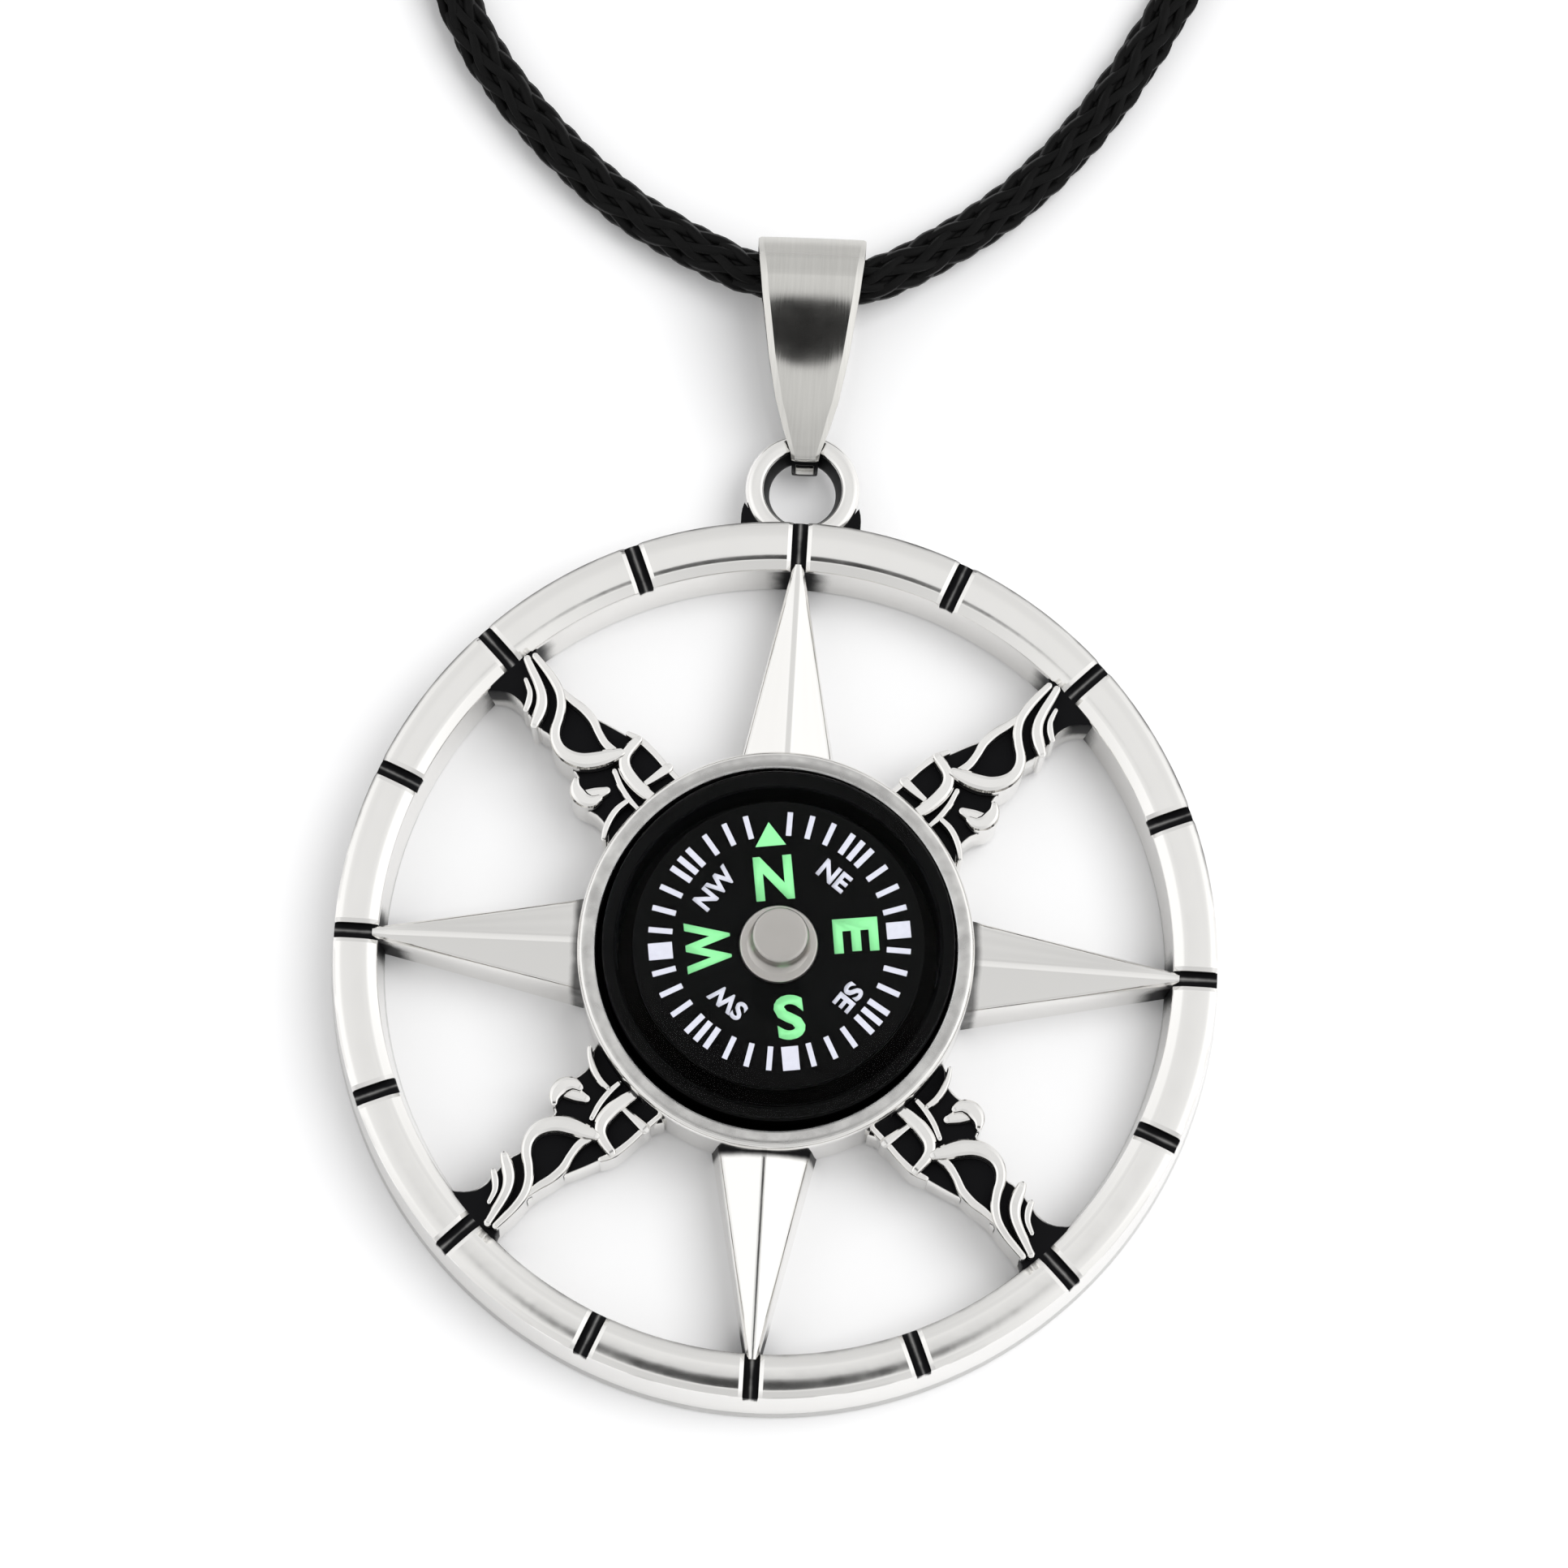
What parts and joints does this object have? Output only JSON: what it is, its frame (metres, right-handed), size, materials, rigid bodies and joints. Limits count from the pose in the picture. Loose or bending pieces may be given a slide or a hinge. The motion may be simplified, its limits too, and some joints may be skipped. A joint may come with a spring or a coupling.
{
  "type": "compass pendant on a braided cord",
  "caption": "Round cast compass rose pendant with a turning compass card under a clear dome, a folded strap bail and a braided cord necklace with a barrel clasp.",
  "frame": {"origin": "centre of the hub's flat back, on the surface that the pendant lies on", "axes": "+Z out of the compass face, +Y towards the bail, +X to the right seen from the front"},
  "size_m": [0.049, 0.1795, 0.0084],
  "materials": {
    "cast_steel": "polished, blackened in the recesses",
    "strap_steel": "polished",
    "capsule_black": "gloss",
    "clear_dome": "clear",
    "card_black": "satin, printed",
    "cap_metal": "satin",
    "cord_black": "waxed braid",
    "pin_steel": "ground",
    "clasp_steel": "polished"
  },
  "bodies": {
    "pendant": {"frame": "cast_steel", "bail": "strap_steel", "capsule": "capsule_black", "cover": "clear_dome", "pivot_pin": "pin_steel", "cord": "cord_black", "clasp": "clasp_steel"},
    "card": {"card": "card_black", "card_cap": "cap_metal"}
  },
  "joints": [
    {"name": "card_turn", "type": "hinge", "parent": "pendant", "child": "card", "pos_m": [0.00012, 0.00012, 0.0065], "axis": [0, 0, 1], "continuous": true}
  ]
}
